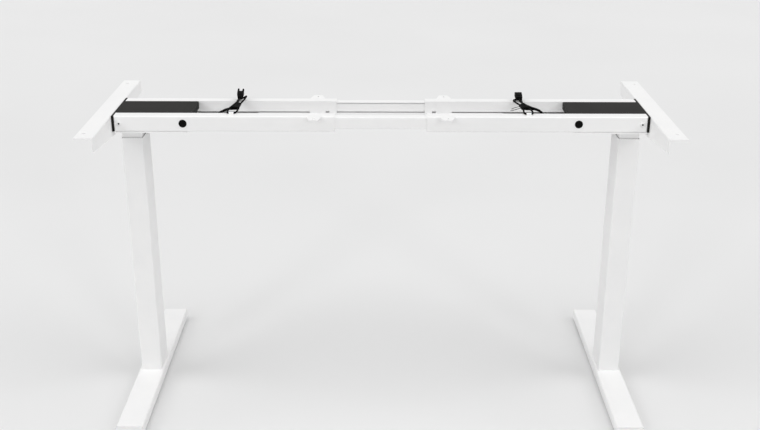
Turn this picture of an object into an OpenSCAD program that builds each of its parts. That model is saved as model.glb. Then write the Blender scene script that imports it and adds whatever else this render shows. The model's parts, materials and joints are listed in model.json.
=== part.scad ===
// Frame of an electric standing desk: two lifting columns on long feet, joined by telescopic
// rails, with angle brackets and lugs that take a desk top. It is drawn at its lowest position.
// X runs along the rails, Y to the rear and Z up, from the middle of the frame on the floor.
// The right half is drawn round its column's axis, and the left half is its mirror image.

/* [Frame] */
// Height of the top plane above the floor, at the lowest position
frame_h = 700; // [600:1:760]
// Distance between the axes of the two columns
column_span = 1145; // [1080:1:1300]
// Part of the lowest height that the lift can't use, so that the rest is its travel
lift_loss = 250; // [240:1:320]
// Free gap between two pieces that move past each other
run_gap = 0.3; // [0.2:0.05:0.5]

/* [Feet] */
// Length of a foot
foot_l = 600; // [500:1:800]
// Width of a foot
foot_w = 62; // [56:1:90]
// Height of a foot's tube
foot_h = 25; // [24:0.5:40]
// Wall of a foot's tube
foot_wall = 2; // [1.5:0.1:3]
// Radius of a foot's long edges
foot_edge_r = 4; // [3:0.5:6]
// Thickness of an end cap's face
cap_t = 3; // [2:0.5:6]
// Length of an end cap's plug
cap_plug_l = 12; // [8:1:16]
// Thickness of a glide's pad
pad_h = 5; // [4:0.5:9]
// Diameter of a glide's pad
pad_d = 38; // [30:1:50]
// Diameter of a glide's stud
stud_d = 8; // [6:1:10]
// Distance from a foot's end to its glide
glide_inset = 34; // [30:1:60]

/* [Columns] */
// Width of the outer tube
outer_w = 50; // [49.5:0.5:55]
// Depth of the outer tube
outer_d = 80; // [79.5:0.5:90]
// Wall of the outer tube
outer_wall = 1.5; // [1:0.1:1.7]
// Width of the inner tube
inner_w = 45; // [43:0.5:45.2]
// Depth of the inner tube
inner_d = 75; // [73:0.5:75.2]
// Wall of the inner tube
inner_wall = 1.5; // [1:0.1:2]
// Corner radius of the outer tube
tube_r = 4; // [3:0.5:5]
// Length of the inner tube that shows at the lowest position
inner_show = 24; // [15:1:40]
// Thickness of the plate in the foot of the outer tube
base_plate_t = 8; // [6:1:12]
// Length of the bush and of the slide collar
bush_l = 40; // [25:1:50]

/* [Rails] */
// Length of an end rail
rail_l = 498; // [480:1:510]
// Width of an end rail
rail_w = 28; // [26:0.5:34]
// Height of an end rail
rail_h = 36; // [35:0.5:40]
// Wall of an end rail
rail_wall = 2.5; // [2:0.1:3]
// Gap between the front and the rear rails
rail_gap = 100; // [98:1:120]
// Length of a centre rail inside each end rail
overlap = 186; // [150:1:195]
// Wall of a centre rail
centre_wall = 2; // [1.5:0.1:3]
// Free height under a centre rail, where the clamp screws press
clamp_gap = 3.5; // [2.5:0.1:4]
// Length of a desk lug
lug_l = 28; // [24:1:40]
// Width of a desk lug at its root
lug_w = 34; // [26:1:40]
// Diameter of a desk lug's hole
lug_hole_d = 7; // [5:0.5:9]

/* [Side brackets] */
// Length of a side bracket
bracket_l = 490; // [440:1:600]
// Width of a side bracket's flange
bracket_w = 41; // [36:1:60]
// Depth of a side bracket at its middle
bracket_h = 50; // [46:1:60]
// Depth of a side bracket at its ends
bracket_end_h = 31; // [20:1:40]
// Thickness of a side bracket
bracket_t = 2.5; // [2:0.1:4]
// Distance between the two holes of a side bracket
bracket_pitch = 420; // [300:1:430]
// Diameter of a side bracket's hole
bracket_hole_d = 8; // [6:0.5:10]

/* [Motor] */
// Thickness of the motor tray
tray_t = 3; // [2:0.1:5]
// Length of the motor tray
tray_l = 166; // [160:1:170]
// Length of the motor cover
cover_l = 174; // [172:1:200]
// Wall of the motor cover
cover_wall = 2; // [1.5:0.1:2.5]
// Thickness of the motor cover's outer end
cover_end_t = 4.4; // [3:0.1:6]
// Diameter of the motor
motor_d = 46; // [36:0.5:48]
// Length of the motor
motor_l = 88; // [70:1:90]
// Diameter of the spindle
spindle_d = 14; // [12:0.5:14.5]
// Outer diameter of the push tube
push_d = 28; // [26:0.5:32]
// Wall of the push tube
push_wall = 2; // [1.5:0.1:2.5]

/* [Hidden] */
$fn = 48;

// Colours
white_paint = "whitesmoke";
zinc = "silver";
dark_plastic = "#3b3b38";
black_plastic = "#161616";
natural_plastic = "ivory";
alloy = "lightgray";

// Overrun of a cut past the face it opens
cut = 1;
// Play of a screw in its clearance hole, and of a pin in its bore, both across the diameter
screw_play = 0.6;
shaft_play = 0.1;
// Play of a plain pressed piece
press_play = 0.1;

// Levels above the floor
foot_top = pad_h + foot_h;
base_top = foot_top + base_plate_t;
rail_low = frame_h - rail_h;
tray_low = rail_low - tray_t;
mouth = tray_low - inner_show;
travel = frame_h - lift_loss;

// Feet
foot_screw_d = 8;
foot_head_d = 14;
foot_head_h = 4;
foot_access_play = 2;
foot_screw_pitch_x = 30;
foot_screw_pitch_y = 56;
insert_wall = 4;
insert_d = stud_d + 2 * insert_wall;
insert_h = 8;
stud_clear = 3;
cap_play = 0.3;
cap_edge_r = 2;

// Columns
inner_floor_gap = 12;
inner_low = base_top + inner_floor_gap;
top_plate_t = 14;

// Spindle and its nut
spindle_floor_gap = 37;
spindle_low = base_top + spindle_floor_gap;
guide_h = 8;
nut_margin = 5;
nut_body_h = 26;
nut_flange_h = 4;
nut_flange_over = 1;
nut_low = spindle_low + guide_h + travel + nut_margin;
push_top = nut_low + nut_body_h;
journal_d = 10;
journal_over = 9;
bearing_d = 32;
bearing_h = 10;
bearing_low = tray_low - bearing_h;
shoulder_d = 24;
collar_d = 20;
collar_h = 6;

// Worm gear
gear_axis_drop = 28;
gear_z = frame_h - gear_axis_drop;
wheel_d = 26;
wheel_h = 10;
wheel_teeth = 20;
tooth_depth = 1.6;
tooth_share = 0.5;
worm_d = 8;
worm_shaft_d = 5;
worm_y = wheel_d / 2 + worm_d / 2 + run_gap;
worm_seat_l = 18;
worm_tail_inset = 5;
worm_end_l = 5;
worm_turns = 7;
worm_groove = 0.8;
worm_pitch = 4;

// Gearbox
gearbox_l = 58;
gearbox_wall = 3;
gearbox_top_gap = 8;
gearbox_play = 0.5;
gearbox_flange_h = 5;
gearbox_flange_w = 74;
gearbox_top = frame_h - gearbox_top_gap;
gearbox_x = gearbox_l / 2;
tray_screw_d = 5;
tray_head_d = 9;
tray_head_h = 3.5;
tray_screw_pitch_x = 30;
tray_screw_pitch_y = 62;

// Motor, measured from the column's axis towards the middle of the frame
motor_x = -gearbox_x;
motor_rim = 2;
motor_band_l = 14;
window_gap = 1.5;

// End rails, measured from the column's axis, outwards positive
rail_out = 29.5;
rail_in = rail_out - rail_l;
rail_y = rail_gap / 2;
rail_face = rail_y + rail_w;
rail_bend_r = 3;
rail_tip_r = 4;
bolt_drop = 17;
bolt_z = frame_h - bolt_drop;
bolt_d = 6;
bolt_head_d = 13;
bolt_head_h = 3.2;
socket_d = 4.6;
socket_depth = 2;
bolt_inset = 12;
bolt_grip = 6;
plug_inset = 155.5;
plug_d = 18;
plug_neck_d = 15;
plug_rim_h = 1.6;
plug_neck_l = 6;
lug_inset = 46;
lug_tip_w = 22;
lug_tip_r = 4;
lug_hole_at = 15;
clamp_near = 22;
clamp_far = 62;
clamp_d = 6;
clamp_head_d = 11;
clamp_head_h = 3;
mouth_plate_l = 64;
mouth_plate_t = 2;
rail_slot_h = 8.5;
nut_window_w = 9;
nut_window_h = 13;

// Centre rails, measured from the middle of the frame
centre_play = 0.5;
centre_l = 2 * (column_span / 2 + rail_in + overlap);
centre_h = rail_h - 2 * rail_wall - centre_play - clamp_gap;
centre_low = rail_low + rail_wall + clamp_gap;
centre_face = rail_face - rail_wall - centre_play;
centre_edge = rail_y + mouth_plate_t + centre_play;
centre_w = centre_face - centre_edge;
centre_bend_r = 2;

// Motor tray, with an ear inside each rail
ear_t = 3;
ear_l = 18;
ear_top_gap = 4;
ear_notch_play = 1;
ear_play = 0.2;

// Motor cover
cover_gap = 1;
cover_r = 6;
cover_lip_h = 15;
cover_seat_play = 0.3;
cover_in = rail_out - cover_l;
web_x = rail_out + cover_end_t + 2 * cover_seat_play;

// Side bracket
bracket_bend_r = 3;
bracket_flat = 120;
bracket_hole_in = 26;
bracket_hole_x = web_x + bracket_hole_in;
bracket_bolt_y = rail_y + rail_w / 2;

// Leads of the motors: each route is hand laid, from the grommet to the connector, as distances
// from the motor's rear end, the middle of the depth and the top plane.
lead_d = 4;
lead_sides = 8;
grommet_d = 9;
grommet_tip_d = 6;
grommet_l = 12;
grommet_base_l = 3;
lead_start = [-1, 0, 0];
left_tilt = 16;
right_tilt = 10;
left_route = [
    [-12, 8, -24], [-24, 8, -24.5], [-37, 4, -27], [-47.5, -8, -30], [-53.5, -24, -31],
    [-56.5, -39, -30.8], [-61, -52, -30.8], [-68.5, -59.5, -31], [-77, -58, -31],
    [-82, -50.5, -29.5], [-83.5, -45, -22.5], [-83.5, -44, -13], [-84.5, -43.5, -4.5],
    [-98.5, -36, 2.2], [-108, -24, 2.5], [-116, -6, 3], [-119.5, 12, 3], [-120, 28, 3],
    [-118.5, 42, 2.6], [-119.5, 53, 2.4], [-125.5, 60, 3.5], [-132.5, 60.5, 6.3],
    [-137.5, 57, 10], [-138.5, 48, 11], [-136, 36, 8.5], [-130.5, 21, 4.5], [-128, 8, 3.2],
    [-127.5, -8, 3], [-128, -25, 3], [-128, -43, 2.4], [-125, -54, 2.2], [-117, -59.5, 2.2],
    [-109, -55, 2.2], [-106.5, -45, 2.6], [-109, -32, 4], [-114.5, -17, 6], [-119.5, 0, 7],
    [-122.5, 17, 7.2], [-123.8, 31, 6.9], [-124, 38, 7.6], [-124, 45, 9.5]
];
right_route = [
    [-12, 8, -24], [-24, 8, -24.5], [-37, 4, -27], [-47.5, -8, -30], [-53.5, -24, -31],
    [-56.5, -39, -30.8], [-61, -52, -30.8], [-68.5, -59.5, -31], [-77, -58, -31],
    [-82, -50.5, -29.5], [-83.5, -45, -22.5], [-83.5, -44, -13], [-84.5, -43.5, -4.5],
    [-94.5, -33, 2.5], [-109.5, -12, 3], [-120.5, 8, 3], [-124.5, 26, 3], [-124, 42, 2.5],
    [-123.5, 52, 2.2], [-126, 59.5, 2.2], [-132.5, 63, 2.2], [-139.2, 59.5, 2.2], [-142, 51.5, 2.3],
    [-139, 31, 3], [-133.5, 14, 3], [-130.5, -7, 3], [-129, -31, 3], [-130, -46, 2.4],
    [-128.5, -56, 2.2], [-120.5, -62, 2.2], [-112.5, -57, 2.2], [-110, -47, 2.5],
    [-112.5, -33, 4], [-118.5, -17, 6], [-124.5, 0, 7], [-128, 17, 7.3], [-130, 29, 7.2],
    [-130.5, 36, 8.2], [-130.5, 43, 9.5]
];
connector_w = 17;
connector_t = 10;
connector_l = 26;
connector_rib = 1.5;
connector_wall = 2;
connector_mouth_l = 12;
prong_l = 8;
prong_w = 3.5;

// Sizes that the pieces above share
foot_middle = pad_h + foot_h / 2;
glide_y = foot_l / 2 - glide_inset;
insert_top = pad_h + foot_wall + insert_h;
pad_rim_h = 2;
cap_wall = 2;
cap_plug_w = foot_w - 2 * foot_wall - cap_play;
cap_plug_h = foot_h - 2 * foot_wall - cap_play;
outer_hollow_w = outer_w - 2 * outer_wall;
outer_hollow_d = outer_d - 2 * outer_wall;
bush_t = (outer_hollow_w - inner_w) / 2 - run_gap;
wheel_low = gear_z - wheel_h / 2;
journal_top = gear_z + wheel_h / 2 + journal_over;
tooth_gap = tooth_share * PI * wheel_d / wheel_teeth;
gearbox_front = -(wheel_d / 2 + gearbox_play + gearbox_wall);
gearbox_rear = worm_y + worm_d / 2 + gearbox_play + gearbox_wall;
worm_tail_x = gearbox_x - worm_tail_inset;
tray_in = rail_out - tray_l;
ear_y = rail_face - rail_wall - ear_play - ear_t / 2;
ear_in = rail_out - rail_wall - ear_play - ear_l;
bolt_x = rail_out - bolt_inset;
plug_x = rail_out - plug_inset;
centre_y = centre_edge + centre_w / 2;
cover_w = rail_gap - 2 * cover_gap;
cover_out = rail_out + cover_seat_play + cover_end_t;
prong_h = 4;
lead_out = left_route[0];
lead_from = [motor_x - motor_l, 0, frame_h];

function worm_x(i) = (i - worm_turns / 2) * worm_pitch;

// Helpers

module right() {
    translate([column_span / 2, 0, 0]) children();
}

module left() {
    mirror([1, 0, 0]) right() children();
}

module front() {
    mirror([0, 1, 0]) children();
}

module block(x, y, z) {
    translate([x[0], y[0], z[0]]) cube([x[1] - x[0], y[1] - y[0], z[1] - z[0]]);
}

module rounded(w, d, r) {
    square([w - 2 * r, d], center = true);
    square([w, d - 2 * r], center = true);
    for (x = [-1, 1], y = [-1, 1]) translate([x * (w / 2 - r), y * (d / 2 - r)]) circle(r);
}

module square_tube(w, d, wall, r, low, high) {
    translate([0, 0, low]) linear_extrude(high - low) difference() {
        rounded(w, d, r);
        rounded(w - 2 * wall, d - 2 * wall, r - wall);
    }
}

module rod(d, low, high) {
    translate([0, 0, low]) cylinder(d = d, h = high - low);
}

// Rod along X, at a depth and a height
module cross_rod(d, x, y, z) {
    translate([x[0], y, z]) rotate([0, 90, 0]) cylinder(d = d, h = x[1] - x[0]);
}

// An outline in Y and Z, drawn out along X
module along_x(x) {
    translate([x[0], 0, 0]) rotate([90, 0, 90]) linear_extrude(x[1] - x[0]) children();
}

module at_four(pitch_x, pitch_y) {
    for (x = [-1, 1], y = [-1, 1]) translate([x * pitch_x / 2, y * pitch_y / 2, 0]) children();
}

// Button-head screw that stands on its head's seat at zero, with its shank below
module button_screw(d, head_d, head_h, l) {
    dome_r = (head_d * head_d / 4 + head_h * head_h) / (2 * head_h);
    difference() {
        union() {
            rotate_extrude() intersection() {
                translate([0, head_h - dome_r]) circle(dome_r);
                square([head_d / 2, head_h]);
            }
            rod(d, -l, 0);
        }
        translate([0, 0, head_h - socket_depth]) cylinder(d = socket_d, h = socket_depth + cut, $fn = 6);
    }
}

// Feet

module foot_tube() {
    color(white_paint) difference() {
        union() {
            translate([0, 0, foot_middle]) rotate([90, 0, 0])
                linear_extrude(foot_l - 2 * cap_t, center = true) difference() {
                    rounded(foot_w, foot_h, foot_edge_r);
                    rounded(foot_w - 2 * foot_wall, foot_h - 2 * foot_wall, foot_edge_r - foot_wall);
                }
            for (y = [-1, 1]) translate([0, y * glide_y, 0]) rod(insert_d, pad_h + foot_wall, insert_top);
        }
        for (y = [-1, 1]) translate([0, y * glide_y, 0]) rod(stud_d + shaft_play, 0, insert_top + cut);
        at_four(foot_screw_pitch_x, foot_screw_pitch_y) {
            rod(foot_head_d + foot_access_play, 0, foot_middle);
            rod(foot_screw_d + screw_play, foot_middle, foot_top + cut);
        }
    }
}

module foot_cap() {
    color(white_paint) {
        translate([0, foot_l / 2, foot_middle]) rotate([90, 0, 0]) linear_extrude(cap_t)
            rounded(foot_w, foot_h, foot_edge_r);
        translate([0, foot_l / 2 - cap_t, foot_middle]) rotate([90, 0, 0]) linear_extrude(cap_plug_l)
            difference() {
                rounded(cap_plug_w, cap_plug_h, cap_edge_r);
                rounded(cap_plug_w - 2 * cap_wall, cap_plug_h - 2 * cap_wall, cap_edge_r - cap_wall / 2);
            }
    }
}

module foot_caps() {
    foot_cap();
    front() foot_cap();
}

module glide() {
    translate([0, glide_y, 0]) {
        color(black_plastic) {
            rod(pad_d, 0, pad_h - pad_rim_h);
            translate([0, 0, pad_h - pad_rim_h]) cylinder(d1 = pad_d, d2 = pad_d - 2 * pad_rim_h, h = pad_rim_h - run_gap);
        }
        color(zinc) rod(stud_d, pad_h - pad_rim_h, foot_top - foot_wall - stud_clear);
    }
}

module foot_screws() {
    color(zinc) at_four(foot_screw_pitch_x, foot_screw_pitch_y)
        translate([0, 0, foot_top - foot_wall]) mirror([0, 0, 1])
            button_screw(foot_screw_d, foot_head_d, foot_head_h, foot_wall + base_plate_t);
}

// Columns

module outer_tube() {
    color(white_paint) {
        square_tube(outer_w, outer_d, outer_wall, tube_r, foot_top, mouth);
        difference() {
            translate([0, 0, foot_top]) linear_extrude(base_plate_t)
                rounded(outer_hollow_w, outer_hollow_d, tube_r - outer_wall);
            at_four(foot_screw_pitch_x, foot_screw_pitch_y) rod(foot_screw_d + shaft_play, 0, base_top + cut);
        }
    }
}

module guide_bush() {
    color(dark_plastic) square_tube(outer_hollow_w, outer_hollow_d, bush_t, tube_r - outer_wall, mouth - bush_l, mouth);
}

module push_tube() {
    color(zinc) difference() {
        rod(push_d, base_top, push_top);
        rod(push_d - 2 * push_wall, base_top - cut, push_top + cut);
    }
}

module spindle_nut() {
    color(natural_plastic) difference() {
        union() {
            rod(push_d - 2 * push_wall - press_play, nut_low, push_top);
            rod(push_d + 2 * nut_flange_over, push_top, push_top + nut_flange_h);
        }
        rod(spindle_d + shaft_play, nut_low - cut, push_top + nut_flange_h + cut);
    }
}

module inner_tube() {
    color(white_paint) {
        square_tube(inner_w, inner_d, inner_wall, tube_r - outer_wall, inner_low, tray_low);
        difference() {
            translate([0, 0, tray_low - top_plate_t]) linear_extrude(top_plate_t)
                rounded(inner_w - 2 * inner_wall, inner_d - 2 * inner_wall, tube_r - outer_wall - inner_wall);
            rod(shoulder_d, 0, bearing_low + cut);
            rod(bearing_d, bearing_low, tray_low + cut);
            at_four(tray_screw_pitch_x, tray_screw_pitch_y) rod(tray_screw_d + shaft_play, 0, tray_low + cut);
        }
    }
}

module slide_collar() {
    color(natural_plastic) translate([0, 0, inner_low]) linear_extrude(bush_l) difference() {
        rounded(outer_hollow_w - 2 * run_gap, outer_hollow_d - 2 * run_gap, tube_r - outer_wall - run_gap);
        rounded(inner_w, inner_d, tube_r - outer_wall);
    }
}

// Spindle and worm gear

module spindle() {
    color(zinc) {
        rod(spindle_d, spindle_low, wheel_low);
        rod(push_d - 2 * push_wall - 2 * run_gap, spindle_low, spindle_low + guide_h);
        rod(collar_d, bearing_low - run_gap - collar_h, bearing_low - run_gap);
        rod(journal_d, wheel_low, journal_top);
    }
}

module spindle_bearing() {
    color(zinc) difference() {
        rod(bearing_d - press_play, bearing_low, tray_low);
        rod(spindle_d + shaft_play, bearing_low - cut, tray_low + cut);
    }
}

module worm_wheel() {
    color(natural_plastic) difference() {
        rod(wheel_d, wheel_low, wheel_low + wheel_h);
        rod(journal_d + press_play, wheel_low - cut, wheel_low + wheel_h + cut);
        for (i = [0 : wheel_teeth - 1]) rotate(i * 360 / wheel_teeth)
            block([wheel_d / 2 - tooth_depth, wheel_d], [-tooth_gap / 2, tooth_gap / 2],
                [wheel_low - cut, wheel_low + wheel_h + cut]);
    }
}

module worm_shaft() {
    color(zinc) {
        cross_rod(worm_shaft_d, [motor_x - worm_seat_l, worm_tail_x], worm_y, gear_z);
        for (i = [0 : worm_turns - 1]) cross_rod(worm_d, [worm_x(i), worm_x(i) + worm_pitch - worm_groove], worm_y, gear_z);
    }
}

module gearbox() {
    color(alloy) difference() {
        union() {
            block([-gearbox_x, gearbox_x], [gearbox_front, gearbox_rear], [rail_low, gearbox_top]);
            block([-gearbox_x, gearbox_x], [-gearbox_flange_w / 2, gearbox_flange_w / 2],
                [rail_low, rail_low + gearbox_flange_h]);
        }
        rod(wheel_d + 2 * gearbox_play, rail_low - cut, wheel_low + wheel_h + gearbox_play);
        rod(journal_d + shaft_play, rail_low, journal_top + gearbox_play);
        cross_rod(worm_d + 2 * gearbox_play, [-gearbox_x - cut, worm_tail_x - worm_end_l], worm_y, gear_z);
        cross_rod(worm_shaft_d + shaft_play, [0, worm_tail_x + gearbox_play], worm_y, gear_z);
        at_four(tray_screw_pitch_x, tray_screw_pitch_y)
            rod(tray_screw_d + screw_play, rail_low - cut, rail_low + gearbox_flange_h + cut);
    }
}

module tray_screws() {
    color(zinc) at_four(tray_screw_pitch_x, tray_screw_pitch_y) translate([0, 0, rail_low + gearbox_flange_h])
        button_screw(tray_screw_d, tray_head_d, tray_head_h, gearbox_flange_h + tray_t + top_plate_t);
}

module motor() {
    color(black_plastic) difference() {
        union() {
            cross_rod(motor_d - 2 * motor_rim, [motor_x - motor_l, motor_x], worm_y, gear_z);
            cross_rod(motor_d, [motor_x - motor_l + motor_rim, motor_x - motor_band_l], worm_y, gear_z);
            cross_rod(motor_d, [motor_x - motor_rim, motor_x], worm_y, gear_z);
        }
        cross_rod(worm_shaft_d + shaft_play, [motor_x - worm_seat_l - run_gap, motor_x + cut], worm_y, gear_z);
    }
}

// Head of a column

module motor_tray() {
    color(white_paint) difference() {
        union() {
            block([tray_in, rail_out], [-rail_face, rail_face], [tray_low, rail_low]);
            for (y = [-1, 1]) block([ear_in, ear_in + ear_l], [y * ear_y - ear_t / 2, y * ear_y + ear_t / 2],
                [rail_low, frame_h - rail_wall - ear_top_gap]);
        }
        rod(bearing_d, tray_low - cut, rail_low + cut);
        at_four(tray_screw_pitch_x, tray_screw_pitch_y) rod(tray_screw_d + screw_play, tray_low - cut, rail_low + cut);
        block([motor_x - motor_l - window_gap, motor_x + window_gap], [worm_y - motor_d / 2, worm_y + motor_d / 2],
            [tray_low - cut, rail_low + cut]);
        translate([bolt_x, -rail_face, bolt_z]) rotate([-90, 0, 0]) cylinder(d = bolt_d + shaft_play, h = 2 * rail_face);
    }
}

// Outline of an end rail in Y and Z
module rail_outline() {
    translate([rail_y + rail_w / 2, frame_h - rail_h / 2]) {
        rounded(rail_w, rail_h, rail_bend_r);
        translate([-rail_w / 2, -rail_h / 2]) square([rail_w / 2, rail_h]);
    }
}

module lug() {
    difference() {
        hull() {
            translate([-lug_w / 2, -rail_bend_r, 0]) cube([lug_w, rail_bend_r, rail_wall]);
            for (x = [-1, 1]) translate([x * (lug_tip_w / 2 - lug_tip_r), lug_l - lug_tip_r, 0])
                cylinder(r = lug_tip_r, h = rail_wall, $fn = 32);
        }
        translate([0, lug_hole_at, -cut]) cylinder(d = lug_hole_d, h = rail_wall + 2 * cut);
    }
}

module end_rail() {
    color(white_paint) difference() {
        union() {
            difference() {
                along_x([rail_in, rail_out]) rail_outline();
                block([rail_in - cut, rail_out - rail_wall], [rail_y - cut, rail_face - rail_wall],
                    [rail_low + rail_wall, frame_h - rail_wall]);
            }
            // Inner lip over the slot, and the plate that closes the slot at the mouth
            block([rail_in, rail_out], [rail_y, rail_y + mouth_plate_t],
                [rail_low + rail_wall + rail_slot_h, frame_h - rail_wall]);
            block([rail_in, rail_in + mouth_plate_l], [rail_y, rail_y + mouth_plate_t],
                [rail_low + rail_wall, frame_h - rail_wall]);
            translate([rail_in + lug_inset, rail_face, frame_h - rail_wall]) lug();
        }
        // Rounded upright corner at the outer end
        difference() {
            block([rail_out - rail_tip_r, rail_out + cut], [rail_face - rail_tip_r, rail_face + cut],
                [rail_low - cut, frame_h + cut]);
            translate([rail_out - rail_tip_r, rail_face - rail_tip_r, 0]) rod(2 * rail_tip_r, 0, frame_h + 2 * cut);
        }
        // Notch of the bottom flange round the tray's ear
        block([ear_in - ear_notch_play, rail_out - rail_wall], [rail_y - cut, rail_face - rail_wall],
            [rail_low - cut, rail_low + rail_wall + cut]);
        // Holes for the bolts to the tray and to the side bracket, and for the plug
        translate([bolt_x, rail_face - rail_w / 2, bolt_z]) rotate([-90, 0, 0])
            cylinder(d = bolt_d + screw_play, h = rail_w);
        cross_rod(bolt_d + shaft_play, [rail_out - rail_w, rail_out + cut], bracket_bolt_y, bolt_z);
        translate([plug_x, rail_face - rail_w / 2, bolt_z]) rotate([-90, 0, 0])
            cylinder(d = plug_neck_d + press_play, h = rail_w);
        // Holes of the clamp screws, and a window to the nut of the inner one
        for (x = [clamp_near, clamp_far]) translate([rail_in + x, centre_y, 0])
            rod(clamp_d + shaft_play, rail_low - cut, rail_low + rail_wall + cut);
        block([rail_in + clamp_near - nut_window_w / 2, rail_in + clamp_near + nut_window_w / 2],
            [rail_y - cut, rail_y + mouth_plate_t + cut], [rail_low + rail_wall, rail_low + nut_window_h]);
    }
}

module frame_screws() {
    color(zinc) {
        for (y = [-1, 1]) translate([bolt_x, y * rail_face, bolt_z]) rotate([-y * 90, 0, 0])
            button_screw(bolt_d, bolt_head_d, bolt_head_h, rail_wall + ear_play + ear_t + bolt_grip);
        for (y = [-1, 1]) translate([web_x + bracket_t, y * bracket_bolt_y, bolt_z]) rotate([0, 90, 0])
            button_screw(bolt_d, bolt_head_d, bolt_head_h, bracket_t + web_x - rail_out + rail_wall + bolt_grip);
    }
}

module clamp_screws() {
    color(zinc) for (x = [clamp_near, clamp_far], y = [-1, 1]) translate([rail_in + x, y * centre_y, rail_low])
        mirror([0, 0, 1]) button_screw(clamp_d, clamp_head_d, clamp_head_h, rail_wall + clamp_gap - run_gap);
}

module hole_plugs() {
    color(black_plastic) for (y = [-1, 1]) translate([plug_x, y * rail_face, bolt_z]) rotate([-y * 90, 0, 0]) {
        cylinder(d = plug_d, h = plug_rim_h);
        rod(plug_neck_d, -plug_neck_l, 0);
    }
}

module motor_cover() {
    color(dark_plastic) difference() {
        union() {
            translate([(cover_in + rail_out + cover_r) / 2, 0, rail_low])
                linear_extrude(rail_h) rounded(rail_out + cover_r - cover_in, cover_w, cover_r);
            block([rail_out + cover_seat_play, cover_out], [-rail_face, rail_face], [rail_low, frame_h]);
        }
        block([cover_out, cover_out + 2 * cover_r], [-rail_face, rail_face], [rail_low - cut, frame_h + cut]);
        block([cover_in + cover_wall, rail_out + cover_seat_play], [cover_wall - cover_w / 2, cover_w / 2 - cover_wall],
            [rail_low - cut, frame_h - cover_wall]);
        block([cover_in - cut, cover_in + 2 * cover_r], [-cover_w / 2 - cut, cover_w / 2 + cut],
            [rail_low - cut, frame_h - cover_lip_h]);
        for (y = [-1, 1]) cross_rod(bolt_d + screw_play, [rail_out, cover_out + cut], y * bracket_bolt_y, bolt_z);
    }
}

module side_bracket() {
    color(white_paint) difference() {
        union() {
            block([web_x + bracket_bend_r, web_x + bracket_w], [-bracket_l / 2, bracket_l / 2],
                [frame_h - bracket_t, frame_h]);
            block([web_x, web_x + bracket_t], [-bracket_l / 2, bracket_l / 2],
                [frame_h - bracket_h, frame_h - bracket_bend_r]);
            translate([web_x + bracket_bend_r, 0, frame_h - bracket_bend_r]) rotate([90, 0, 0])
                linear_extrude(bracket_l, center = true) intersection() {
                    difference() {
                        circle(bracket_bend_r);
                        circle(bracket_bend_r - bracket_t);
                    }
                    translate([-bracket_bend_r, 0]) square(bracket_bend_r);
                }
        }
        for (y = [-1, 1]) {
            along_x([web_x - cut, web_x + bracket_t + cut]) polygon([
                [y * bracket_flat / 2, frame_h - bracket_h],
                [y * bracket_flat / 2, frame_h - bracket_h - cut],
                [y * (bracket_l / 2 + cut), frame_h - bracket_h - cut],
                [y * (bracket_l / 2 + cut), frame_h - bracket_end_h],
                [y * bracket_l / 2, frame_h - bracket_end_h]
            ]);
            translate([bracket_hole_x, y * bracket_pitch / 2, 0])
                rod(bracket_hole_d, frame_h - bracket_t - cut, frame_h + cut);
            cross_rod(bolt_d + screw_play, [web_x - cut, web_x + bracket_t + cut], y * bracket_bolt_y, bolt_z);
        }
    }
}

// Rails in the middle

module centre_rear_rail() {
    color(white_paint) difference() {
        along_x([-centre_l / 2, centre_l / 2]) translate([centre_edge + centre_w / 2, centre_low + centre_h / 2]) {
            rounded(centre_w, centre_h, centre_bend_r);
            translate([-centre_w / 2, -centre_h / 2]) square([centre_w / 2, centre_h]);
        }
        block([-centre_l / 2 - cut, centre_l / 2 + cut], [centre_edge - cut, centre_face - centre_wall],
            [centre_low + centre_wall, centre_low + centre_h - centre_wall]);
    }
}

// Leads

module lead_grommet() {
    color(black_plastic) translate(lead_from + lead_out + [grommet_l, 0, 0]) rotate([0, -90, 0]) {
        cylinder(d = grommet_d, h = grommet_base_l);
        rod(grommet_tip_d, 0, grommet_l);
    }
}

function unit(v) = v / norm(v);

function last(p) = p[len(p) - 1];

function route_way(p, tilt, i) = i == 0 ? lead_start : i == len(p) - 1 ? [0, cos(tilt), sin(tilt)]
    : unit(unit(p[i + 1] - p[i]) + unit(p[i] - p[i - 1]));

// Sideways direction of each ring, carried along the route without a twist
function ring_sides(p, tilt, i = 0, side = [0, 0, 1]) = i == len(p) ? []
    : let (way = route_way(p, tilt, i), next = unit(side - (side * way) * way))
        concat([next], ring_sides(p, tilt, i + 1, next));

module motor_lead(route, tilt) {
    across = ring_sides(route, tilt);
    rings = len(route);
    points = [for (i = [0 : rings - 1]) let (way = route_way(route, tilt, i), up = cross(way, across[i]))
        for (k = [0 : lead_sides - 1]) let (a = k * 360 / lead_sides)
            route[i] + lead_d / 2 * (cos(a) * across[i] + sin(a) * up)];
    walls = [for (i = [0 : rings - 2], k = [0 : lead_sides - 1]) let (n = (k + 1) % lead_sides)
        each [[i * lead_sides + k, (i + 1) * lead_sides + k, (i + 1) * lead_sides + n],
            [i * lead_sides + k, (i + 1) * lead_sides + n, i * lead_sides + n]]];
    ends = [[for (k = [0 : lead_sides - 1]) k],
        [for (k = [lead_sides - 1 : -1 : 0]) (rings - 1) * lead_sides + k]];
    color(black_plastic) translate(lead_from) polyhedron(points, concat(ends, walls), convexity = 10);
}

module lead_connector(route, tilt) {
    color(black_plastic) translate(lead_from + last(route)) rotate([tilt, 0, 0]) difference() {
        union() {
            block([-connector_w / 2, connector_w / 2], [0, connector_l], [-connector_t / 2, connector_t / 2]);
            block([-connector_w / 2 - connector_rib, connector_w / 2 + connector_rib], [0, connector_rib],
                [-connector_t / 2, connector_t / 2]);
        }
        block([connector_wall - connector_w / 2, connector_w / 2 - connector_wall],
            [connector_l - connector_mouth_l, connector_l + cut],
            [connector_wall - connector_t / 2, connector_t / 2 - connector_wall]);
    }
}

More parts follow.
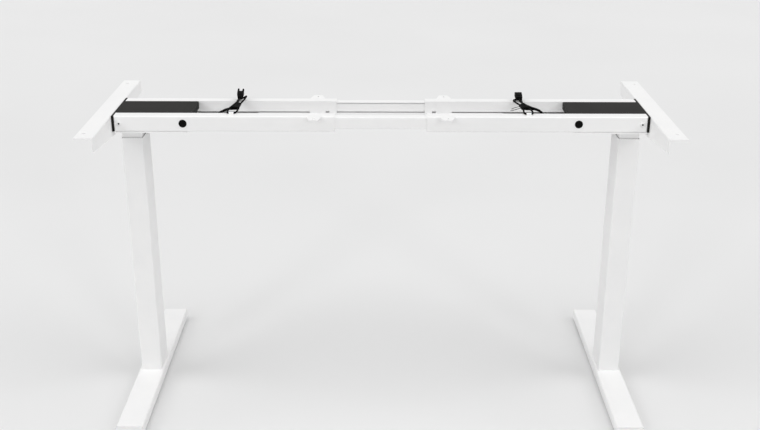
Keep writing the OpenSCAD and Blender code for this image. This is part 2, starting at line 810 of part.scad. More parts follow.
// Latch arms at the mouth of the left connector
module latch_arms(route, tilt) {
    color(black_plastic) translate(lead_from + last(route)) rotate([tilt, 0, 0])
        for (x = [-connector_w / 2, connector_w / 2 - prong_w])
            block([x, x + prong_w], [connector_l, connector_l + prong_l], [-connector_t / 2, prong_h - connector_t / 2]);
}

front() centre_rear_rail();  // centre_front_rail
centre_rear_rail();
left() foot_tube();  // left_foot_tube
right() foot_tube();  // right_foot_tube
left() foot_caps();  // left_foot_caps
right() foot_caps();  // right_foot_caps
left() front() glide();  // left_front_glide
right() front() glide();  // right_front_glide
left() glide();  // left_rear_glide
right() glide();  // right_rear_glide
left() foot_screws();  // left_foot_screws
right() foot_screws();  // right_foot_screws
left() outer_tube();  // left_outer_tube
right() outer_tube();  // right_outer_tube
left() guide_bush();  // left_guide_bush
right() guide_bush();  // right_guide_bush
left() push_tube();  // left_push_tube
right() push_tube();  // right_push_tube
left() spindle_nut();  // left_spindle_nut
right() spindle_nut();  // right_spindle_nut
left() inner_tube();  // left_inner_tube
right() inner_tube();  // right_inner_tube
left() slide_collar();  // left_slide_collar
right() slide_collar();  // right_slide_collar
left() spindle();  // left_spindle
right() spindle();  // right_spindle
left() spindle_bearing();  // left_spindle_bearing
right() spindle_bearing();  // right_spindle_bearing
left() worm_wheel();  // left_worm_wheel
right() worm_wheel();  // right_worm_wheel
left() worm_shaft();  // left_worm_shaft
right() worm_shaft();  // right_worm_shaft
left() gearbox();  // left_gearbox
right() gearbox();  // right_gearbox
left() motor();  // left_motor
right() motor();  // right_motor
left() motor_tray();  // left_motor_tray
right() motor_tray();  // right_motor_tray
left() tray_screws();  // left_tray_screws
right() tray_screws();  // right_tray_screws
left() motor_cover();  // left_motor_cover
right() motor_cover();  // right_motor_cover
left() front() end_rail();  // left_front_rail
right() front() end_rail();  // right_front_rail
left() end_rail();  // left_rear_rail
right() end_rail();  // right_rear_rail
left() frame_screws();  // left_frame_screws
right() frame_screws();  // right_frame_screws
left() clamp_screws();  // left_clamp_screws
right() clamp_screws();  // right_clamp_screws
left() hole_plugs();  // left_hole_plugs
right() hole_plugs();  // right_hole_plugs
left() side_bracket();  // left_side_bracket
right() side_bracket();  // right_side_bracket
left() lead_grommet();  // left_lead_grommet
right() lead_grommet();  // right_lead_grommet
left() motor_lead(left_route, left_tilt);  // left_motor_lead
right() motor_lead(right_route, right_tilt);  // right_motor_lead
left() {  // left_lead_connector
    lead_connector(left_route, left_tilt);
    latch_arms(left_route, left_tilt);
}
right() lead_connector(right_route, right_tilt);  // right_lead_connector
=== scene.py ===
"""Looks of the standing desk frame: materials, leads, small moulded pieces, floor and light.

Metres and +Z up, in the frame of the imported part. Routes, profiles, outlines and the sizes beside
them that aren't multiplied by MM are in millimetres.
"""

import json
import math

import bmesh
import bpy
from mathutils import Matrix, Vector


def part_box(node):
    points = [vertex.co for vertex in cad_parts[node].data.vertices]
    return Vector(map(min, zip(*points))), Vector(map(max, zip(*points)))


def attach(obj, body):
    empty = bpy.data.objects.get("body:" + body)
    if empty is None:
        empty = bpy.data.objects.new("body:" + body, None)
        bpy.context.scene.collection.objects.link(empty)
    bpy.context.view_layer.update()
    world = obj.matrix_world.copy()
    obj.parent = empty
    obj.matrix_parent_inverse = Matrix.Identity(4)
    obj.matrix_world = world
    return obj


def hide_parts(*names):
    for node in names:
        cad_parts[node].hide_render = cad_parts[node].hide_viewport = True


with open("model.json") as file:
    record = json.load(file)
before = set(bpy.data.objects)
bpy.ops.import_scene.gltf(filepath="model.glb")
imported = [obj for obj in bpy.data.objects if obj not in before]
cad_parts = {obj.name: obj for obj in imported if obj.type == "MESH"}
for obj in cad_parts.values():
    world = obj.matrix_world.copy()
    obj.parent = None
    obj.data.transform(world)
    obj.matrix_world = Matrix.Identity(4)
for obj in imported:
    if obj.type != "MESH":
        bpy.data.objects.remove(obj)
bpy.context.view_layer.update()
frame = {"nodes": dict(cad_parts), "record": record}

MM = 0.001
SIDES = {"left": -1, "right": 1}

# Camera, as the photograph was taken

CAMERA_AT = (-0.0012, -2.4036, 1.3788)
CAMERA_DOWN = math.radians(21.5)
CAMERA_ROLL = math.radians(0.127)
CAMERA_LENS = 50.85
CAMERA_SENSOR_W = 36

camera_data = bpy.data.cameras.new("camera")
camera_data.lens = CAMERA_LENS
camera_data.sensor_width = CAMERA_SENSOR_W
camera = bpy.data.objects.new("camera", camera_data)
camera.location = CAMERA_AT
camera_tilt = Matrix.Rotation(math.pi / 2 - CAMERA_DOWN, 3, "X")
camera_roll = Matrix.Rotation(CAMERA_ROLL, 3, "Z")
camera.rotation_euler = (camera_tilt @ camera_roll).to_euler()
bpy.context.scene.collection.objects.link(camera)
bpy.context.scene.camera = camera


# Mesh helpers

def new_object(name, data, slot, body, matrix=None, material=None):
    """Piece on a body, in the finish of its slot unless it has a material of its own."""
    piece = bpy.data.objects.new(name, data)
    bpy.context.scene.collection.objects.link(piece)
    data.materials.append(material or finishes[slot])
    if matrix is not None:
        piece.matrix_world = matrix
    bpy.context.view_layer.update()
    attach(piece, body)
    return piece


def mesh_from(name, parts, sharp=35):
    """One mesh of closed parts, each (points, faces), with edges sharper than some degrees kept."""
    mesh = bpy.data.meshes.new(name)
    points, faces = [], []
    for part_points, part_faces in parts:
        start = len(points)
        points += [tuple(p) for p in part_points]
        faces += [[start + i for i in f] for f in part_faces]
    mesh.from_pydata(points, [], faces)
    work = bmesh.new()
    work.from_mesh(mesh)
    bmesh.ops.recalc_face_normals(work, faces=work.faces)
    for edge in work.edges:
        edge.smooth = edge.calc_face_angle(0) < math.radians(sharp)
    for face in work.faces:
        face.smooth = True
    work.to_mesh(mesh)
    work.free()
    return mesh


def skin(rings):
    """Closed surface over rings of equally many points, capped at both ends."""
    n = len(rings[0])
    points = [p for ring in rings for p in ring]
    faces = [list(range(n))[::-1], [(len(rings) - 1) * n + i for i in range(n)]]
    for r in range(len(rings) - 1):
        for i in range(n):
            j = (i + 1) % n
            faces.append([r * n + i, r * n + j, (r + 1) * n + j, (r + 1) * n + i])
    return points, faces


def turned(profile, sides=40):
    """Body of revolution about Z from (radius, height) pairs."""
    return skin([[(r * math.cos(a), r * math.sin(a), z)
                  for a in (2 * math.pi * i / sides for i in range(sides))] for r, z in profile])


def rounded_ring(y, half_w, half_t, r, steps=5):
    """Rounded rectangle in X and Z at a place along Y."""
    ring = []
    for quarter, (sx, sz) in enumerate(((1, 1), (-1, 1), (-1, -1), (1, -1))):
        x, z = sx * (half_w - r), sz * (half_t - r)
        for i in range(steps + 1):
            a = math.pi / 2 * (quarter + i / steps)
            ring.append((x + r * math.cos(a), y, z + r * math.sin(a)))
    return ring


def drawn(outline, low, high, bevel):
    """An outline in Y and Z drawn out along X, with its two ends bevelled."""
    centre_y = sum(p[0] for p in outline) / len(outline)
    centre_z = sum(p[1] for p in outline) / len(outline)

    def ring(x, inset):
        out = []
        for y, z in outline:
            d = math.hypot(y - centre_y, z - centre_z)
            k = 1 - inset / d
            out.append((x, centre_y + (y - centre_y) * k, centre_z + (z - centre_z) * k))
        return out

    return skin([ring(low, bevel), ring(low + bevel, 0), ring(high - bevel, 0), ring(high, bevel)])


def arc(centre, r, start, end, steps):
    """Points on an arc from one angle in degrees to another."""
    return [(centre[0] + r * math.cos(math.radians(a)), centre[1] + r * math.sin(math.radians(a)))
            for a in (start + (end - start) * i / steps for i in range(steps + 1))]


def block(x, y, z, bevel):
    """Block with bevelled ends and rounded long edges."""
    half_w, half_t = (x[1] - x[0]) / 2, (z[1] - z[0]) / 2
    cx, cz = (x[0] + x[1]) / 2, (z[0] + z[1]) / 2
    rings = []
    for at, inset in ((y[0], bevel), (y[0] + bevel, 0), (y[1] - bevel, 0), (y[1], bevel)):
        w, t = half_w - inset, half_t - inset
        ring = rounded_ring(at, w, t, min(bevel, w, t), steps=3)
        rings.append([(px + cx, py, pz + cz) for px, py, pz in ring])
    return skin(rings)


# Materials

NOISE_ROUGHNESS = 0.55


class Nodes:
    """Short ways to add shader nodes to one material."""

    def __init__(self, name):
        self.material = bpy.data.materials.new(name)
        self.material.use_nodes = True
        self.tree = self.material.node_tree
        self.shader = self.tree.nodes["Principled BSDF"]
        self.place = self.add("ShaderNodeTexCoord").outputs["Object"]

    def add(self, kind, **settings):
        node = self.tree.nodes.new(kind)
        for key, value in settings.items():
            setattr(node, key, value)
        return node

    def link(self, a, b):
        self.tree.links.new(a, b)

    def noise(self, scale, detail=4, stretch=None):
        node = self.add("ShaderNodeTexNoise")
        node.inputs["Scale"].default_value = scale
        node.inputs["Detail"].default_value = detail
        node.inputs["Roughness"].default_value = NOISE_ROUGHNESS
        place = self.place
        if stretch:
            mapping = self.add("ShaderNodeMapping")
            mapping.inputs["Scale"].default_value = stretch
            self.link(place, mapping.inputs["Vector"])
            place = mapping.outputs["Vector"]
        self.link(place, node.inputs["Vector"])
        return node.outputs["Fac"]

    def cells(self, scale):
        node = self.add("ShaderNodeTexVoronoi")
        node.inputs["Scale"].default_value = scale
        self.link(self.place, node.inputs["Vector"])
        return node.outputs["Distance"]

    def ramp(self, value, stops):
        node = self.add("ShaderNodeValToRGB")
        ramp = node.color_ramp
        while len(ramp.elements) < len(stops):
            ramp.elements.new(0.5)
        for element, (at, colour) in zip(ramp.elements, stops):
            element.position = at
            element.color = (*colour, 1)
        self.link(value, node.inputs["Fac"])
        return node.outputs["Color"]

    def spread(self, value, low, high):
        node = self.add("ShaderNodeMapRange")
        node.inputs["To Min"].default_value = low
        node.inputs["To Max"].default_value = high
        self.link(value, node.inputs["Value"])
        return node.outputs["Result"]

    def maths(self, operation, a, b):
        node = self.add("ShaderNodeMath", operation=operation)
        for socket, value in zip(node.inputs, (a, b)):
            if isinstance(value, (int, float)):
                socket.default_value = value
            else:
                self.link(value, socket)
        return node.outputs["Value"]

    def bump(self, height, strength, distance):
        node = self.add("ShaderNodeBump")
        node.inputs["Strength"].default_value = strength
        node.inputs["Distance"].default_value = distance
        self.link(height, node.inputs["Height"])
        self.link(node.outputs["Normal"], self.shader.inputs["Normal"])

    def set(self, **values):
        for key, value in values.items():
            socket = self.shader.inputs[key.replace("_", " ")]
            if isinstance(value, (int, float, tuple)):
                socket.default_value = value
            else:
                self.link(value, socket)


def grey(value, warm=0.0):
    """Linear colour of an sRGB grey from 0 to 255, a little warm or cool."""
    def linear(v):
        v = v / 255
        return v / 12.92 if v <= 0.04045 else ((v + 0.055) / 1.055) ** 2.4

    return linear(value + warm), linear(value), linear(value - warm)


def powder_coat(name, tone):
    """White powder coat: fine orange peel over a slow change of tone."""
    m = Nodes(name)
    slow = m.noise(9, detail=3)
    m.set(Base_Color=m.ramp(slow, [(0.3, grey(tone - 2.5)), (0.7, grey(tone + 1.5, 0.4))]),
          Roughness=m.spread(m.noise(60), 0.38, 0.5),
          Specular_IOR_Level=0.45, Coat_Weight=0.12, Coat_Roughness=0.3)
    peel = m.maths("ADD", m.noise(900, detail=2), m.maths("MULTIPLY", m.cells(2300), 0.35))
    m.bump(peel, 0.22, 0.00012)
    return m.material


def satin_plastic(name, tone):
    """White moulded plastic."""
    m = Nodes(name)
    m.set(Base_Color=m.ramp(m.noise(14), [(0.3, grey(tone - 2)), (0.7, grey(tone, 0.5))]),
          Roughness=m.spread(m.noise(120), 0.32, 0.42),
          Subsurface_Weight=0.05, Subsurface_Scale=0.002)
    m.bump(m.noise(1400, detail=2), 0.1, 0.00008)
    return m.material


def textured_plastic(name, tone, rough):
    """Dark moulded plastic with a spark-eroded grain."""
    m = Nodes(name)
    slow = m.noise(16, detail=3)
    m.set(Base_Color=m.ramp(slow, [(0.3, grey(tone - 3, 0.8)), (0.7, grey(tone + 3, 1.0))]),
          Roughness=m.spread(m.noise(260), *rough), IOR=1.2)
    grain = m.maths("ADD", m.noise(1500, detail=3), m.maths("MULTIPLY", m.cells(1100), 0.5))
    m.bump(grain, 0.4, 0.00015)
    return m.material


def smooth_plastic(name, tone):
    """Black moulded plastic with a soft shine."""
    m = Nodes(name)
    m.set(Base_Color=m.ramp(m.noise(40), [(0.35, grey(tone - 3)), (0.7, grey(tone + 4))]),
          Roughness=m.spread(m.noise(220), 0.36, 0.5), IOR=1.12)
    m.bump(m.noise(2200, detail=2), 0.12, 0.00006)
    return m.material


def zinc_plate(name, tone):
    """Bright zinc: metal with a faint bluish bloom and fine turning marks."""
    m = Nodes(name)
    bloom = m.noise(70, detail=5)
    m.set(Base_Color=m.ramp(bloom, [(0.25, grey(tone - 14, -2.0)), (0.6, grey(tone)),
                                    (0.85, grey(tone + 8, 3.0))]),
          Metallic=1.0, Roughness=m.spread(m.noise(420, detail=6), 0.24, 0.42))
    m.bump(m.noise(1300, detail=4, stretch=(0.2, 0.2, 6.0)), 0.15, 0.00006)
    return m.material


def cast_alloy(name, tone):
    """Blasted die casting."""
    m = Nodes(name)
    m.set(Base_Color=m.ramp(m.noise(30, detail=6), [(0.3, grey(tone - 12)), (0.75, grey(tone + 6))]),
          Metallic=0.9, Roughness=m.spread(m.noise(200), 0.45, 0.62))
    m.bump(m.maths("ADD", m.noise(1700, detail=3), m.cells(900)), 0.35, 0.00014)
    return m.material


def natural_plastic(name):
    """Unfilled gear plastic, ivory and a little see-into."""
    m = Nodes(name)
    m.set(Base_Color=m.ramp(m.noise(25), [(0.3, grey(228, 6)), (0.7, grey(236, 5))]),
          Roughness=m.spread(m.noise(150), 0.34, 0.46),
          Subsurface_Weight=0.15, Subsurface_Scale=0.003)
    m.bump(m.noise(1200), 0.1, 0.00008)
    return m.material


def sheath(name, tone):
    """Soft lead sheath with faint drawing marks."""
    m = Nodes(name)
    m.set(Base_Color=m.ramp(m.noise(120, detail=5), [(0.3, grey(tone - 4)), (0.75, grey(tone + 5))]),
          Roughness=m.spread(m.noise(500), 0.42, 0.58), IOR=1.1)
    m.bump(m.noise(1500, detail=4), 0.25, 0.00008)
    return m.material


finishes = {
    "white_paint": powder_coat("white_powder_coat", 246),
    "white_plastic": satin_plastic("white_satin_plastic", 243),
    "white_screw": powder_coat("white_screw_coat", 238),
    "zinc": zinc_plate("bright_zinc", 200),
    "black_paint": textured_plastic("black_motor_paint", 30, (0.36, 0.46)),
    "dark_plastic": textured_plastic("charcoal_grained_plastic", 31, (0.6, 0.72)),
    "black_plastic": smooth_plastic("black_smooth_plastic", 13),
    "natural_plastic": natural_plastic("ivory_gear_plastic"),
    "alloy": cast_alloy("blasted_alloy", 176),
    "lead_sheath": sheath("black_lead_sheath", 10),
}

for part in frame["record"]["subparts"]:
    node_object = frame["nodes"][part["node"]]
    node_object.data.materials.clear()
    node_object.data.materials.append(finishes[part["material_slot"]])


# Leads of the motors, by the same points as in the part's source: millimetres from the
# motor's rear end, the middle of the depth and the top plane, with the left side mirrored

LEAD_D = 4 * MM
LEAD_TILT = {"left": 16, "right": 10}
LEAD_ROUTE = {
    "left": [
        (-12, 8, -24), (-24, 8, -24.5), (-37, 4, -27), (-47.5, -8, -30), (-53.5, -24, -31),
        (-56.5, -39, -30.8), (-61, -52, -30.8), (-68.5, -59.5, -31), (-77, -58, -31),
        (-82, -50.5, -29.5), (-83.5, -45, -22.5), (-83.5, -44, -13), (-84.5, -43.5, -4.5),
        (-98.5, -36, 2.2), (-108, -24, 2.5), (-116, -6, 3), (-119.5, 12, 3), (-120, 28, 3),
        (-118.5, 42, 2.6), (-119.5, 53, 2.4), (-125.5, 60, 3.5), (-132.5, 60.5, 6.3),
        (-137.5, 57, 10), (-138.5, 48, 11), (-136, 36, 8.5), (-130.5, 21, 4.5), (-128, 8, 3.2),
        (-127.5, -8, 3), (-128, -25, 3), (-128, -43, 2.4), (-125, -54, 2.2), (-117, -59.5, 2.2),
        (-109, -55, 2.2), (-106.5, -45, 2.6), (-109, -32, 4), (-114.5, -17, 6), (-119.5, 0, 7),
        (-122.5, 17, 7.2), (-123.8, 31, 6.9), (-124, 38, 7.6), (-124, 45, 9.5),
    ],
    "right": [
        (-12, 8, -24), (-24, 8, -24.5), (-37, 4, -27), (-47.5, -8, -30), (-53.5, -24, -31),
        (-56.5, -39, -30.8), (-61, -52, -30.8), (-68.5, -59.5, -31), (-77, -58, -31),
        (-82, -50.5, -29.5), (-83.5, -45, -22.5), (-83.5, -44, -13), (-84.5, -43.5, -4.5),
        (-94.5, -33, 2.5), (-109.5, -12, 3), (-120.5, 8, 3), (-124.5, 26, 3), (-124, 42, 2.5),
        (-123.5, 52, 2.2), (-126, 59.5, 2.2), (-132.5, 63, 2.2), (-139.2, 59.5, 2.2),
        (-142, 51.5, 2.3), (-139, 31, 3), (-133.5, 14, 3), (-130.5, -7, 3), (-129, -31, 3),
        (-130, -46, 2.4), (-128.5, -56, 2.2), (-120.5, -62, 2.2), (-112.5, -57, 2.2),
        (-110, -47, 2.5), (-112.5, -33, 4), (-118.5, -17, 6), (-124.5, 0, 7), (-128, 17, 7.3),
        (-130, 29, 7.2), (-130.5, 36, 8.2), (-130.5, 43, 9.5),
    ],
}
top_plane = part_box("right_front_rail")[1].z
motor_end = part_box("right_motor")[0].x


def lead_point(side, point):
    """Place in the frame of a point of the lead's route."""
    x, y, z = point
    return Vector((SIDES[side] * (motor_end + x * MM), y * MM, top_plane + z * MM))


def lead_curve(side):
    curve = bpy.data.curves.new(f"{side}_lead", "CURVE")
    curve.dimensions = "3D"
    curve.bevel_depth = LEAD_D / 2
    curve.bevel_resolution = 5
    curve.resolution_u = 8
    curve.use_fill_caps = True
    spline = curve.splines.new("BEZIER")
    route = [lead_point(side, p) for p in LEAD_ROUTE[side]]
    spline.bezier_points.add(len(route) - 1)
    for knot, at in zip(spline.bezier_points, route):
        knot.co = at
        knot.handle_left_type = knot.handle_right_type = "AUTO"
    return curve, route


def over_rails(side):
    """The points of a lead's route above the rails' top plane."""
    return [p for p in LEAD_ROUTE[side] if p[2] > 0]


def connector_matrix(side):
    base = lead_point(side, LEAD_ROUTE[side][-1])
    return Matrix.Translation(base) @ Matrix.Rotation(math.radians(LEAD_TILT[side]), 4, "X")


# Connectors, along Y from where the lead goes in: half width, half thickness, length and half width
# at the back. The left one narrows to its back, and the right one is nearly square

CONNECTOR = {"left": (7.6, 4.6, 25.0, 5.0), "right": (8.3, 5.0, 26.0, 7.6)}
MOUTH_W = 6.2
MOUTH_T = 3.0
MOUTH_L = 12.0
GRIP_EDGE = 0.4
GRIP_R = 1.2
GRIP_END = 13.2
HOUSING_START = 14.0
FINGER_GROOVES = 4
GROOVE_FROM = 3.5
GROOVE_STEP = 2.2
GROOVE_DEPTH = 0.6
PIN_X = (-4.0, 0, 4.0)
PIN_Z = (-1.4, 1.4)
PIN_HALF_W = 0.6
PIN_HALF_T = 0.35
PIN_RECESS = 4
LATCH_ARM_W = 4.0
LATCH_ARM_BACK = 9
LATCH_ARM_REACH = (9.0, 8.0)


def connector_mesh(side):
    """Housing with finger grooves, its contacts, and two latch arms or one latch on top."""
    half_w, half_t, length, back_w = CONNECTOR[side]

    def grip(y, inset, r):
        half_at = back_w + (half_w - back_w) * min(1.0, y / (length - MOUTH_L))
        return rounded_ring(y, half_at - inset, half_t - GRIP_EDGE - inset, r)

    rings = [grip(0, 1.2, 0.8), grip(0.4, 0.3, GRIP_R), grip(1.2, 0, GRIP_R)]
    for i in range(FINGER_GROOVES):
        y = GROOVE_FROM + i * GROOVE_STEP
        rings += [grip(y, 0, GRIP_R), grip(y + 0.3, GROOVE_DEPTH, 1.0),
                  grip(y + 1.1, GROOVE_DEPTH, 1.0), grip(y + 1.4, 0, GRIP_R)]
    rings += [grip(GRIP_END, 0, GRIP_R),
              rounded_ring(HOUSING_START, half_w, half_t, GRIP_R),
              rounded_ring(length - 0.6, half_w, half_t, GRIP_R),
              rounded_ring(length, half_w - 0.5, half_t - 0.5, 0.9),
              rounded_ring(length, MOUTH_W + 0.3, MOUTH_T + 0.3, 0.6),
              rounded_ring(length - 0.4, MOUTH_W, MOUTH_T, 0.5),
              rounded_ring(length - MOUTH_L, MOUTH_W, MOUTH_T, 0.5)]
    parts = [skin(rings)]
    for x in PIN_X:
        for z in PIN_Z:
            parts.append(block((x - PIN_HALF_W, x + PIN_HALF_W),
                               (length - MOUTH_L - 0.5, length - PIN_RECESS),
                               (z - PIN_HALF_T, z + PIN_HALF_T), 0.2))
    if side == "left":
        for x, reach in zip((-half_w, half_w - LATCH_ARM_W), LATCH_ARM_REACH):
            root, tip = length - LATCH_ARM_BACK, length + reach
            parts.append(block((x, x + LATCH_ARM_W), (root, tip), (0.2, 4.9), 0.6))
            parts.append(block((x + 0.5, x + 3.5), (tip - 3.2, tip - 0.4), (4.2, 6.0), 0.5))
    else:
        parts.append(block((-2.4, 2.4), (9, 22), (half_t - 0.7, half_t + 1.1), 0.4))
        parts.append(block((-1.6, 1.6), (19.5, 21.6), (half_t + 0.7, half_t + 2.0), 0.4))
    scaled = [([(x * MM, y * MM, z * MM) for x, y, z in points], faces) for points, faces in parts]
    return mesh_from(f"{side}_connector", scaled)


for side in SIDES:
    connector = new_object(f"{side}_connector", connector_mesh(side), "black_plastic",
                           f"{side}_head", connector_matrix(side))
    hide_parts(f"{side}_lead_connector")
    curve, route = lead_curve(side)
    lead = new_object(f"{side}_lead", curve, "lead_sheath", f"{side}_head")
    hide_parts(f"{side}_motor_lead")


# Ribbed strain relief of each lead

GLAND_RIBS = 4
GLAND_RIB_STEP = 2.0
GLAND_RIB_TAPER = 0.28


def gland_mesh(name):
    """Tapered sleeve with ribs, along Z from its base."""
    profile = [(0.2, 0), (4.5, 0), (4.5, 2.6), (4.1, 3.0)]
    for i in range(GLAND_RIBS):
        z, r = 3.4 + i * GLAND_RIB_STEP, 4.0 - i * GLAND_RIB_TAPER
        profile += [(r, z), (r, z + 0.9), (r - 0.55, z + 1.1), (r - 0.6, z + 1.7)]
    profile += [(2.9, 11.4), (2.7, 12), (0.2, 12)]
    return mesh_from(name, [turned([(r * MM, z * MM) for r, z in profile])])


for side, sign in SIDES.items():
    low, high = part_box(f"{side}_lead_grommet")
    base_x = high.x if sign > 0 else low.x
    at = Matrix.Translation((base_x, (low.y + high.y) / 2, (low.z + high.z) / 2))
    turn = Matrix.Rotation(-sign * math.pi / 2, 4, "Y")
    gland = new_object(f"{side}_gland", gland_mesh(f"{side}_gland"), "black_plastic",
                       f"{side}_head", at @ turn)
    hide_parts(f"{side}_lead_grommet")


# Domed hole plugs, one on the front rail and one on the rear rail

PLUG_RIM_H = 1.6 * MM
PLUG_PROFILE = [(0.2, -6), (6.6, -6), (7.3, -4.6), (7.5, -1), (7.45, 0), (9.0, 0), (9.0, 0.7),
                (8.6, 1.15), (7.9, 1.3), (7.4, 1.15), (6.9, 1.2), (5.6, 1.42), (3.8, 1.55),
                (1.9, 1.6), (0.2, 1.6)]
PLUG_SIDES = 48


def plug_mesh(name):
    """Plug with a lip, a shallow groove and a low dome, along Z from the rail's face."""
    plug = turned([(r * MM, z * MM) for r, z in PLUG_PROFILE], PLUG_SIDES)
    return mesh_from(name, [plug], sharp=50)


for side in SIDES:
    low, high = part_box(f"{side}_hole_plugs")
    middle = (low + high) / 2
    for end, way in (("front", -1), ("rear", 1)):
        name = f"{side}_{end}_plug"
        at = Matrix.Translation((middle.x, way * (high.y - PLUG_RIM_H), middle.z))
        turn = Matrix.Rotation(-way * math.pi / 2, 4, "X")
        new_object(name, plug_mesh(name), "black_plastic", f"{side}_head", at @ turn)
    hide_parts(f"{side}_hole_plugs")


# White saddle clip over the front fold of each lead

CLIP_HALF = 5.5 * MM
CLIP_BEVEL = 0.2 * MM
CLIP_BACK = 0.5
CLIP_OUTSIDE = ([(5.5, 0.0), (5.5, 0.7), (4, 1.0)] + arc((1.4, 2.6), 2.3, 30, 90, 4)
                + arc((-1.4, 2.6), 2.3, 90, 150, 4) + [(-4, 1.0), (-5.5, 0.7), (-5.5, 0.0)])
CLIP_INSIDE = ([(-3.1, 0.0)] + arc((-1.5, 2.5), 1.6, 180, 90, 3)
               + arc((1.5, 2.5), 1.6, 90, 0, 3) + [(3.1, 0.0)])
for side in SIDES:
    name = f"{side}_lead_clip"
    fold = lead_point(side, min(over_rails(side), key=lambda p: p[1]))
    outline = [(fold.y + (y + CLIP_BACK) * MM, top_plane + z * MM)
               for y, z in CLIP_OUTSIDE + CLIP_INSIDE]
    clip = drawn(outline, fold.x - CLIP_HALF, fold.x + CLIP_HALF, CLIP_BEVEL)
    new_object(name, mesh_from(name, [clip]), "white_plastic", f"{side}_head")


# Tape wound round the runs of each lead, a sleeve where the lead comes up past the front rail, and
# the two wire tails of a twist tie on the right one. The profile gives one turn of tape: the share
# of the turn and how far the tape lies in from its radius

TAPE_Y = {"left": (-24, 12), "right": (-22, 6)}
TAPE_TURN = 4
TAPE_R = 3.2
TAPE_PROFILE = [(0.02, 0.5), (0.12, 0.1), (0.5, 0), (0.88, 0.1), (0.98, 0.5)]
TAILS = [[(-131, -14, 3), (-140, -18, 2), (-149, -24, 1.2), (-159, -30, 0.8)],
         [(-131, -11, 4.5), (-139, -12, 5), (-148, -16, 4), (-155, -21, 2.5)]]
TAIL_R = 0.7
SLEEVE_POINTS = slice(12, 15)
SLEEVE_R = 3
TUBE_SHARP = 60
TUBE_END_SHARE = 0.8


def runs_at(side, y):
    """Where the lead's runs over the rails pass a place along Y: (x, z) of each."""
    route = over_rails(side)
    runs = []
    for a, b in zip(route, route[1:]):
        if min(a[1], b[1]) <= y < max(a[1], b[1]):
            t = (y - a[1]) / (b[1] - a[1])
            runs.append((a[0] + t * (b[0] - a[0]), a[2] + t * (b[2] - a[2])))
    return runs


def taut_ring(side, y, r, steps=48):
    """Loop drawn tight at a distance r round the middles of the runs."""
    runs = runs_at(side, y)
    ring = []
    for a in (2 * math.pi * i / steps for i in range(steps)):
        x, z = max(runs, key=lambda p: p[0] * math.cos(a) + p[1] * math.sin(a))
        ring.append(lead_point(side, (x + r * math.cos(a), y, z + r * math.sin(a))))
    return ring


def tube(side, points, r, steps=6, sides=16):
    """Tube on a smooth curve through the points, with its ends drawn in."""
    knots = [Vector(p) for p in points]
    knots = [2 * knots[0] - knots[1]] + knots + [2 * knots[-1] - knots[-2]]
    path = []
    for a, b, c, d in zip(knots, knots[1:], knots[2:], knots[3:]):
        for t in (i / steps for i in range(steps)):
            path.append(0.5 * (2 * b + t * (c - a) + t ** 2 * (2 * a - 5 * b + 4 * c - d)
                               + t ** 3 * (3 * b - a - 3 * c + d)))
    path.append(knots[-2])
    rings = []
    for i, at in enumerate(path):
        way = (path[min(i + 1, len(path) - 1)] - path[max(i - 1, 0)]).normalized()
        across = way.cross(Vector((0, 0, 1))).normalized()
        up = across.cross(way)
        reach = r * (TUBE_END_SHARE if i in (0, len(path) - 1) else 1)
        rings.append([lead_point(side, at + reach * (math.cos(a) * across + math.sin(a) * up))
                      for a in (2 * math.pi * k / sides for k in range(sides))])
    return skin(rings)


for side in SIDES:
    first, last = TAPE_Y[side]
    rings = []
    for start in range(first, last, TAPE_TURN):
        rings += [taut_ring(side, start + at * TAPE_TURN, TAPE_R - inset)
                  for at, inset in TAPE_PROFILE]
    name = f"{side}_lead_tape"
    new_object(name, mesh_from(name, [skin(rings)]), "lead_sheath", f"{side}_head")
    name = f"{side}_lead_sleeve"
    sleeve = tube(side, LEAD_ROUTE[side][SLEEVE_POINTS], SLEEVE_R)
    new_object(name, mesh_from(name, [sleeve], TUBE_SHARP), "lead_sheath", f"{side}_head")
tails = [tube("right", points, TAIL_R) for points in TAILS]
new_object("right_tie_tails", mesh_from("right_tie_tails", tails, TUBE_SHARP), "lead_sheath",
           "right_head", material=sheath("grey_tie_sheath", 70))


# Cover strip in the open side of each centre rail, on stand-offs from the rail's web

CENTRE_WALL = 2 * MM
STRIP_T = 1.2 * MM
STRIP_RECESS = 0.5 * MM
STRIP_GAP_LOW = 2.2 * MM
STRIP_GAP_HIGH = 1.2 * MM
STRIP_END = 5 * MM
STRIP_BEVEL = 0.3 * MM
STAND_OFFS = 5
STAND_OFF_W = 12 * MM


def strip_mesh(name, edge, web, low, high):
    """Strip just inside the edge of the open side, with blocks back to the web."""
    way = 1 if web > edge else -1
    front = edge + way * STRIP_RECESS
    back = front + way * STRIP_T
    z = (low.z + CENTRE_WALL + STRIP_GAP_LOW, high.z - CENTRE_WALL - STRIP_GAP_HIGH)
    x = (low.x + STRIP_END, high.x - STRIP_END)
    parts = [block(x, sorted((front, back)), z, STRIP_BEVEL)]
    depth = sorted((back - way * STRIP_BEVEL, web))
    middle_third = ((z[0] * 2 + z[1]) / 3, (z[0] + z[1] * 2) / 3)
    for i in range(STAND_OFFS):
        at = x[0] + (x[1] - x[0]) * (i + 0.5) / STAND_OFFS
        width = (at - STAND_OFF_W / 2, at + STAND_OFF_W / 2)
        parts.append(block(width, depth, middle_third, STRIP_BEVEL))
    return mesh_from(name, parts)


for end in ("front", "rear"):
    low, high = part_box(f"centre_{end}_rail")
    edge, web = (low.y, high.y - CENTRE_WALL) if end == "rear" else (high.y, low.y + CENTRE_WALL)
    name = f"{end}_cover_strip"
    new_object(name, strip_mesh(name, edge, web, low, high), "white_paint", "centre_rails")
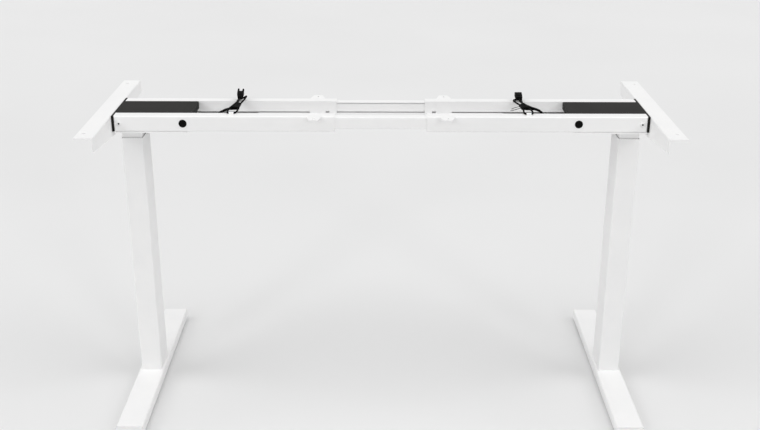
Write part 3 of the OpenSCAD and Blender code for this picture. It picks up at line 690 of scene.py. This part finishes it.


# Painted shade in the sockets of the frame screws: a black cup sunk in each white socket stands in
# for the shade inside it

SOCKET_R = 2.25
SOCKET_SHADE_LINER = [(0.1, -1.95), (SOCKET_R, -1.95), (SOCKET_R, -0.2),
                (SOCKET_R - 0.15, -0.2), (SOCKET_R - 0.2, -1.7), (0.1, -1.7)]
SOCKET_SIDES = 6
BOLT_INSET = 12 * MM
for side, sign in SIDES.items():
    low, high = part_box(f"{side}_frame_screws")
    rail_low, rail_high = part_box(f"{side}_front_rail")
    bolt_x = sign * (max(abs(rail_low.x), abs(rail_high.x)) - BOLT_INSET)
    end_x = sign * max(abs(low.x), abs(high.x))
    rail_y = (rail_low.y + rail_high.y) / 2
    bolt_z = (low.z + high.z) / 2
    heads = []
    for way in (-1, 1):
        heads.append(((bolt_x, way * high.y, bolt_z), -way * math.pi / 2, "X"))
        heads.append(((end_x, way * rail_y, bolt_z), sign * math.pi / 2, "Y"))
    parts = []
    for at, angle, axis in heads:
        place = Matrix.Translation(at) @ Matrix.Rotation(angle, 4, axis)
        points, faces = turned([(r * MM, z * MM) for r, z in SOCKET_SHADE_LINER], SOCKET_SIDES)
        parts.append(([place @ Vector(p) for p in points], faces))
    name = f"{side}_painted_socket_shade"
    # The black cups are painted shade in the recesses of the white screws
    new_object(name, mesh_from(name, parts), "black_plastic", f"{side}_head")


# Floor and light

def floor_material():
    m = Nodes("studio_floor")
    m.set(Base_Color=m.ramp(m.noise(0.7, detail=2), [(0.3, grey(232)), (0.7, grey(235))]),
          Roughness=m.spread(m.noise(30), 0.75, 0.85), Specular_IOR_Level=0.1)
    return m.material


FLOOR_HALF = 30
floor_corners = [(x * FLOOR_HALF, y * FLOOR_HALF, 0) for x, y in ((-1, -1), (1, -1), (1, 1), (-1, 1))]
floor_mesh = bpy.data.meshes.new("floor")
floor_mesh.from_pydata(floor_corners, [], [(0, 1, 2, 3)])
floor_mesh.materials.append(floor_material())
floor = bpy.data.objects.new("floor", floor_mesh)
bpy.context.scene.collection.objects.link(floor)


def soft_light(name, azimuth, elevation, strength, spread):
    """Far softbox: degrees to the right of the front and above the floor, and how wide it looks."""
    data = bpy.data.lights.new(name, "SUN")
    data.energy = strength
    data.angle = math.radians(spread)
    lamp = bpy.data.objects.new(name, data)
    lamp.rotation_euler = (math.radians(90 - elevation), 0, math.radians(azimuth))
    bpy.context.scene.collection.objects.link(lamp)


soft_light("left_softbox", -75, 38, 0.96, 50)
soft_light("right_softbox", 75, 38, 0.88, 50)
soft_light("front_left_softbox", -28, 20, 0.32, 12)
soft_light("front_right_softbox", 28, 20, 0.3, 12)
soft_light("overhead_softbox", 0, 84, 1.15, 60)

# World: white, brighter where the camera or a reflection looks at it than where it lights the part

WORLD_FILL = 0.2
WORLD_SEEN = 0.84
world = bpy.data.worlds.new("studio")
bpy.context.scene.world = world
world.use_nodes = True
tree = world.node_tree
background = tree.nodes["Background"]
ray = tree.nodes.new("ShaderNodeLightPath")
seen = tree.nodes.new("ShaderNodeMath")
seen.operation = "MAXIMUM"
tree.links.new(ray.outputs["Is Camera Ray"], seen.inputs[0])
tree.links.new(ray.outputs["Is Glossy Ray"], seen.inputs[1])
level = tree.nodes.new("ShaderNodeMapRange")
level.inputs["To Min"].default_value = WORLD_FILL
level.inputs["To Max"].default_value = WORLD_SEEN
tree.links.new(seen.outputs["Value"], level.inputs["Value"])
tree.links.new(level.outputs["Result"], background.inputs["Strength"])
background.inputs["Color"].default_value = (1, 1, 1, 1)

bpy.context.scene.view_settings.view_transform = "Standard"
